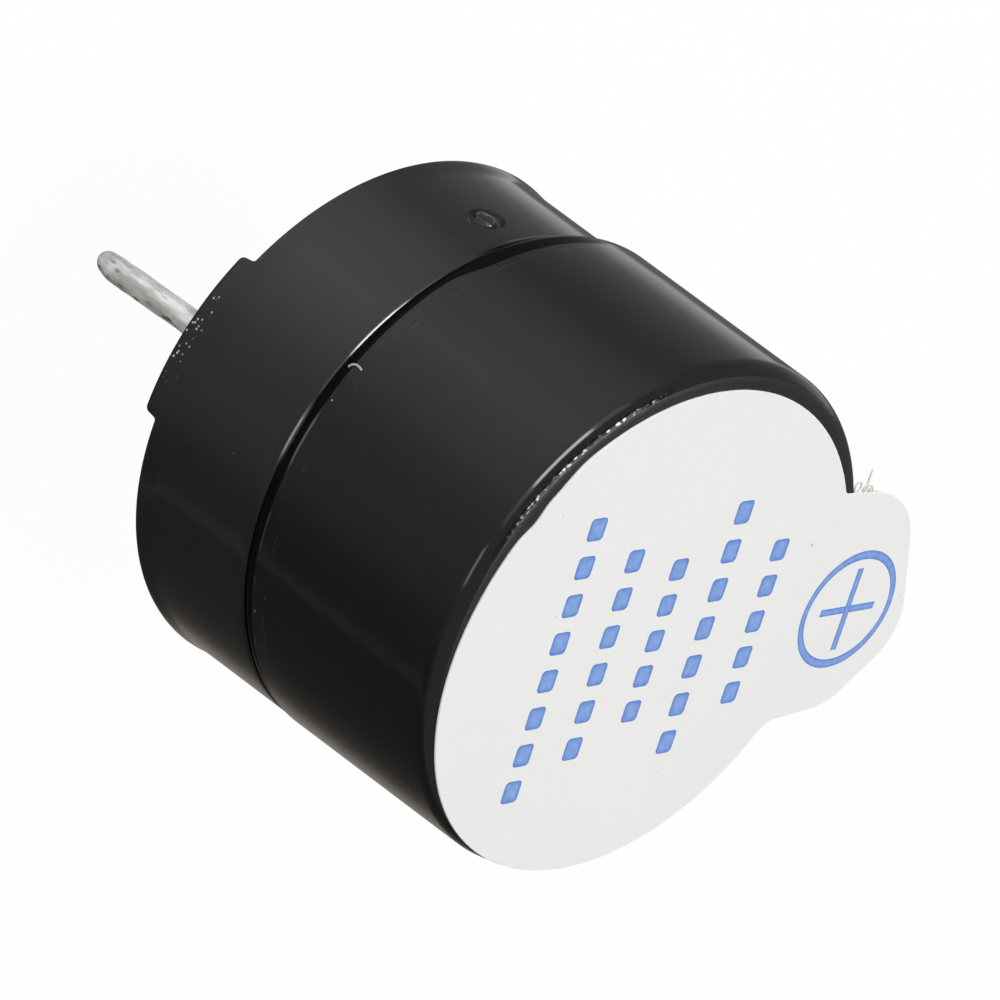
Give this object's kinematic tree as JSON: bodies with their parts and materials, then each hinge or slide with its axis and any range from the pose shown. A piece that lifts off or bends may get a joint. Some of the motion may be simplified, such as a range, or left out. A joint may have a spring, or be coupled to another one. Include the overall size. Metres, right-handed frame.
{
  "type": "active buzzer",
  "caption": "Small round magnetic buzzer: black moulded case and cap, tinned pins underneath and a white peel-off seal film with a grip tab over the sound hole.",
  "frame": {"origin": "middle of the seat plane, the plane of the feet's undersides, halfway between the pins", "axes": "+Z from the pins towards the sound hole, +X towards the positive pin"},
  "size_m": [0.0141, 0.0123, 0.016],
  "materials": {
    "case_plastic": "moulded, semi-gloss",
    "cap_plastic": "moulded, semi-gloss, fine grain on the top ring",
    "white_film": "coated white film with blue print",
    "tinned_wire": "hot-dipped tin, dull",
    "resin": "cast black resin",
    "board_laminate": "glass laminate",
    "copper": "copper foil",
    "chip_plastic": "moulded",
    "tinned_legs": "tin plated",
    "chip_ceramic": "fired",
    "solder": "reflowed",
    "plated_iron": "plated soft iron",
    "enamelled_copper": "enamelled wire",
    "magnet": "bonded ferrite",
    "spring_steel": "rolled"
  },
  "bodies": {
    "root": {"lower_case": "case_plastic", "top_cap": "cap_plastic", "seal_film": "white_film", "negative_pin": "tinned_wire", "positive_pin": "tinned_wire", "potting": "resin", "circuit_board": "board_laminate", "copper_pads": "copper", "transistor_body": "chip_plastic", "transistor_leads": "tinned_legs", "resistor_body": "chip_ceramic", "resistor_terminals": "tinned_legs", "solder_joints": "solder", "yoke_plate": "plated_iron", "core_pole": "plated_iron", "coil_winding": "enamelled_copper", "coil_leads": "enamelled_copper", "ring_magnet": "magnet", "diaphragm": "spring_steel", "diaphragm_weight": "plated_iron"}
  },
  "joints": []
}
